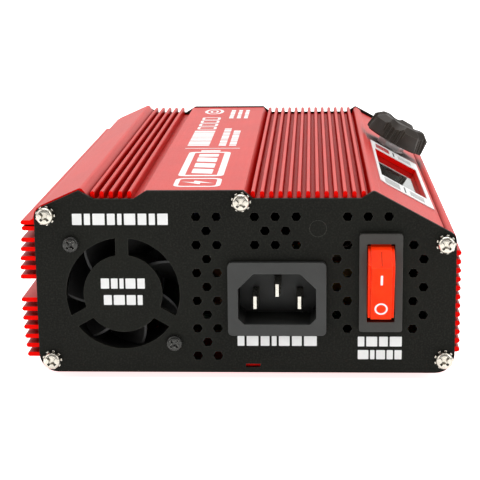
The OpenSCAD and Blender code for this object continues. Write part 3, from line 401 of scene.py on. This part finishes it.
class Print:
    """Flat ink shapes on one face: u runs to the right, v up, as the reader sees it."""

    thickness = 0.05
    lift = 0.012
    ring_sides = 40

    def __init__(self, name, origin, u, v, ink, slot, body="case"):
        self.name = name
        self.origin = Vector(origin)
        self.u = Vector(u).normalized()
        self.v = Vector(v).normalized()
        self.out = self.u.cross(self.v).normalized()
        self.ink = ink
        self.slot = slot
        self.body = body
        self.mesh = bmesh.new()

    def point(self, u, v, height):
        """A new corner, height millimetres above the ink's lower side."""
        place = self.origin + (self.u * u + self.v * v + self.out * (self.lift + height)) * MM
        return self.mesh.verts.new(place)

    def shape(self, outer, inner=None):
        """A raised shape of one outline, or the band between two outlines of equal length."""
        count = len(outer)
        top = [self.point(u, v, self.thickness) for u, v in outer]
        low = [self.point(u, v, 0) for u, v in outer]
        for i in range(count):
            j = (i + 1) % count
            self.mesh.faces.new((low[i], low[j], top[j], top[i]))
        if inner is None:
            self.mesh.faces.new(top)
            self.mesh.faces.new(low[::-1])
            return
        in_top = [self.point(u, v, self.thickness) for u, v in inner]
        in_low = [self.point(u, v, 0) for u, v in inner]
        for i in range(count):
            j = (i + 1) % count
            self.mesh.faces.new((top[i], top[j], in_top[j], in_top[i]))
            self.mesh.faces.new((low[j], low[i], in_low[i], in_low[j]))
            self.mesh.faces.new((in_low[j], in_low[i], in_top[i], in_top[j]))

    def bar(self, u0, u1, v0, v1, corner, lean=0.0):
        """A round-cornered bar, leaning by a share of its height if asked."""
        outline = rounded(u0, u1, v0, v1, corner)
        self.shape([(u + (v - v0) * lean, v) for u, v in outline])

    def frame(self, u0, u1, v0, v1, stroke, corner):
        """The outline of a round-cornered rectangle, stroke millimetres wide."""
        outer = rounded(u0, u1, v0, v1, corner)
        inner_corner = max(corner - stroke, 0.1)
        inner = rounded(u0 + stroke, u1 - stroke, v0 + stroke, v1 - stroke, inner_corner)
        self.shape(outer, inner)

    def ring(self, u, v, width, height, stroke):
        """A round or oval ring about one centre."""
        def oval(across, up):
            turns = [math.tau * i / self.ring_sides for i in range(self.ring_sides)]
            return [(u + across * math.cos(a), v + up * math.sin(a)) for a in turns]

        self.shape(oval(width / 2, height / 2), oval(width / 2 - stroke, height / 2 - stroke))

    def row(self, u0, u1, v0, v1, widths, gap):
        """A row of bars whose widths share the length between u0 and u1."""
        scale = (u1 - u0 - gap * (len(widths) - 1)) / sum(widths)
        place = u0
        for width in widths:
            self.bar(place, place + width * scale, v0, v1, 0.2)
            place += width * scale + gap

    def done(self):
        """Makes the drawn shapes one piece that rides its body."""
        data = bpy.data.meshes.new(self.name)
        bmesh.ops.recalc_face_normals(self.mesh, faces=self.mesh.faces)
        bmesh.ops.triangulate(self.mesh, faces=[f for f in self.mesh.faces if len(f.verts) > 4])
        self.mesh.to_mesh(data)
        self.mesh.free()
        piece = bpy.data.objects.new(self.name, data)
        data.materials.append(self.ink)
        bpy.context.scene.collection.objects.link(piece)
        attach(piece, self.body)


def rounded(u0, u1, v0, v1, corner, steps=4):
    """The outline of a rectangle with round corners of steps flats each, anticlockwise."""
    corner = min(corner, (u1 - u0) / 2 - 0.01, (v1 - v0) / 2 - 0.01)
    centres = ((u1 - corner, v0 + corner, -90), (u1 - corner, v1 - corner, 0),
               (u0 + corner, v1 - corner, 90), (u0 + corner, v0 + corner, 180))
    outline = []
    for u, v, start in centres:
        for i in range(steps + 1):
            a = math.radians(start + 90 * i / steps)
            outline.append((u + corner * math.cos(a), v + corner * math.sin(a)))
    return outline


def face_under(node, start, direction):
    """Where a line from start first meets a CAD node, and the face's normal there."""
    hit, place, normal, _ = nodes[node].ray_cast(start, Vector(direction))
    if not hit:
        raise RuntimeError("nothing of " + node + " lies on that line")
    return place, normal


def bolt(u, v, size):
    """The outline of a lightning mark, size millimetres high, round its centre."""
    corners = ((0.12, 0.5), (-0.3, -0.08), (-0.04, -0.08), (-0.14, -0.5), (0.3, 0.12), (0.04, 0.12))
    return [(u + a * size, v + b * size) for a, b in corners]


def top_marks():
    """A plug mark, a battery and rows of bars on the flat top, read from the right-hand side."""
    top, _ = face_under("upper_shell", at(-16, 85, 90), (0, 0, -1))
    origin = (PLATE.x, PLATE.y, top.z)
    marks = Print("top_marks", origin, (0, 1, 0), (-1, 0, 0), INKS["white"], "label_white")
    low, high = 8, 23
    marks.frame(8.5, 24, low, high, 1.5, 3)
    marks.shape(bolt(16.2, 15.5, 10.5))
    marks.frame(27.5, 77, low, high, 2.2, 2.5)
    cell_low, cell_high = 12, 19
    marks.bar(77.6, 80.6, cell_low, cell_high, 0.5)
    for start in (32, 43.5, 55):
        marks.bar(start, start + 8.6, cell_low, cell_high, 0.6, 0.2)
    marks.bar(66.5, 72, cell_low, cell_high, 0.6)
    marks.bar(84.6, 85.5, 5.3, 25.3, 0.2)
    marks.row(91, 129, 17, 25, (3, 5, 1.6, 5, 2, 6, 3, 4), 0.8)
    for start in (132.5, 141.5, 150.5, 159.5):
        marks.frame(start, start + 7.5, 17, 24.6, 1.1, 1.5)
    for width, height, stroke in ((16, 8.2, 1.3), (8, 3.6, 0.9)):
        marks.ring(185, 20.9, width, height, stroke)
    marks.row(91, 135, 10.8, 13.5, (3, 2, 4, 1, 2, 5, 2, 3, 1, 4, 2), 0.9)
    marks.row(91, 129, 7, 9.6, (2, 4, 1, 3, 2, 5, 1, 2, 4), 0.9)
    for low, high in ((5.8, 7.4), (8.8, 10.4), (11.8, 13.6)):
        marks.row(164, 190, low, high, (4, 2, 5, 3), 1.0)
    marks.done()


def plate_marks():
    """Rows of white bars on the near end plate, where the photo shows printing."""
    front, _ = face_under("inlet_end_plate", at(10, -30, 8), (0, 1, 0))
    origin = (PLATE.x, front.y, PLATE.z)
    marks = Print("plate_marks", origin, (1, 0, 0), (0, 0, 1), INKS["white"], "label_white")
    marks.row(-53.8, -23.8, 47.9, 51.5, (2.2, 1.4, 2.8, 1.8, 1, 2.6, 2, 1.4, 2.4), 0.75)
    marks.row(-45.4, -31.5, 27.4, 30.7, (2, 1.6, 1, 2.4, 1.8), 0.6)
    marks.row(-44.6, -32.3, 22.1, 25.3, (1.6, 2.2, 1.8, 1), 0.6)
    marks.row(-2.5, 22.5, 8.8, 12, (1.4, 2.4, 1.8, 1, 2.2, 2, 2.6), 0.7)
    marks.row(35.4, 49.2, 8.7, 11.9, (1.2, 2, 1.6, 2.2), 0.6)
    marks.row(35.4, 49.2, 4.5, 7.5, (2.4, 1, 2, 1.4, 1.6), 0.5)
    marks.done()


def rocker_marks():
    """The bar and ring of the switch, on the rocker's two faces."""
    for name, height in (("bar", 32.0), ("ring", 22.1)):
        place, out = face_under("switch_rocker", at(42.4, -30, height), (0, 1, 0))
        up = out.cross(Vector((1, 0, 0)))
        right = up.cross(out)
        mark = Print("rocker_" + name, place, right, up, INKS["white"], "label_white", "rocker")
        if name == "bar":
            mark.bar(-0.35, 0.35, -1.75, 1.75, 0.1)
        else:
            mark.ring(0, 0, 4.1, 4.1, 0.55)
        mark.done()


def label_marks():
    """Blocks of lines and a slash on the label, before and behind the window."""
    place, out = face_under("panel_label", at(53, 35, 90), (0, 0, -1))
    right = Vector((0, 1, 0))
    up = out.cross(right)
    centre = Vector((place.x, PLATE.y, place.z))
    low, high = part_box("panel_label")
    middle_x = (low.x + high.x) / 2
    centre += up * ((middle_x - place.x) / up.x)
    dark = Print("label_dark_marks", centre, right, up, INKS["black"], "socket_black")
    red = Print("label_red_marks", centre, right, up, INKS["red"], "socket_red")
    grey = Print("label_grey_marks", centre, right, up, INKS["grey"], "ribbon_grey")
    pitches = 5
    for start, length, upper in ((36.5, 10.5, grey), (109.5, 9.5, red)):
        for step in range(pitches):
            near = start + length * step / pitches
            upper.bar(near, near + length * 0.13, 2.4, 8.2, 0.2)
        for step in range(pitches - 1):
            near = start + length * (step + 0.4) / pitches
            grey.bar(near, near + length * 0.1, -7, -1.4, 0.2)
        dark.bar(start, start + length - 1, 0.2, 0.75, 0.15, -0.12)
    for marks in (dark, red, grey):
        marks.done()


# ---------------------------------------------------------------- floor

def make_floor():
    """A plain pale floor that runs out of sight, with a faint mottle and a glow."""
    mesh = bmesh.new()
    bmesh.ops.create_circle(mesh, cap_ends=True, segments=96, radius=6)
    data = bpy.data.meshes.new("floor")
    mesh.to_mesh(data)
    mesh.free()
    floor = bpy.data.objects.new("floor", data)
    floor.location.z = -0.0002
    look = plain("floor", (0.93, 0.93, 0.925), (0.9, 0.9, 0.895), (0.55, 0.65), 4, 0.01, 300,
                 Emission_Color=(1, 1, 1, 1))
    tree = look.node_tree
    seen = tree.nodes.new("ShaderNodeLightPath")
    glow = tree.nodes.new("ShaderNodeMapRange")
    glow.inputs["To Min"].default_value = 0.6
    glow.inputs["To Max"].default_value = 0.85
    tree.links.new(seen.outputs["Is Camera Ray"], glow.inputs["Value"])
    tree.links.new(glow.outputs[0], tree.nodes["Principled BSDF"].inputs["Emission Strength"])
    data.materials.append(look)
    bpy.context.scene.collection.objects.link(floor)


make_camera()
make_world()
soft_light("light_above", at(0, 160, 750), at(0, 100, 0), 0.7, 3.8)
soft_light("light_left", at(-700, -150, 420), at(0, 80, 20), 0.6, 1.6)
soft_light("light_right", at(700, -100, 420), at(0, 80, 20), 0.6, 2.2)
soft_light("light_back", at(0, 1500, 520), at(0, 100, 30), 1.4, 2.5)
make_floor()

LOOKS = make_looks()
INKS = make_inks()
dress_cad()
top_marks()
plate_marks()
rocker_marks()
label_marks()
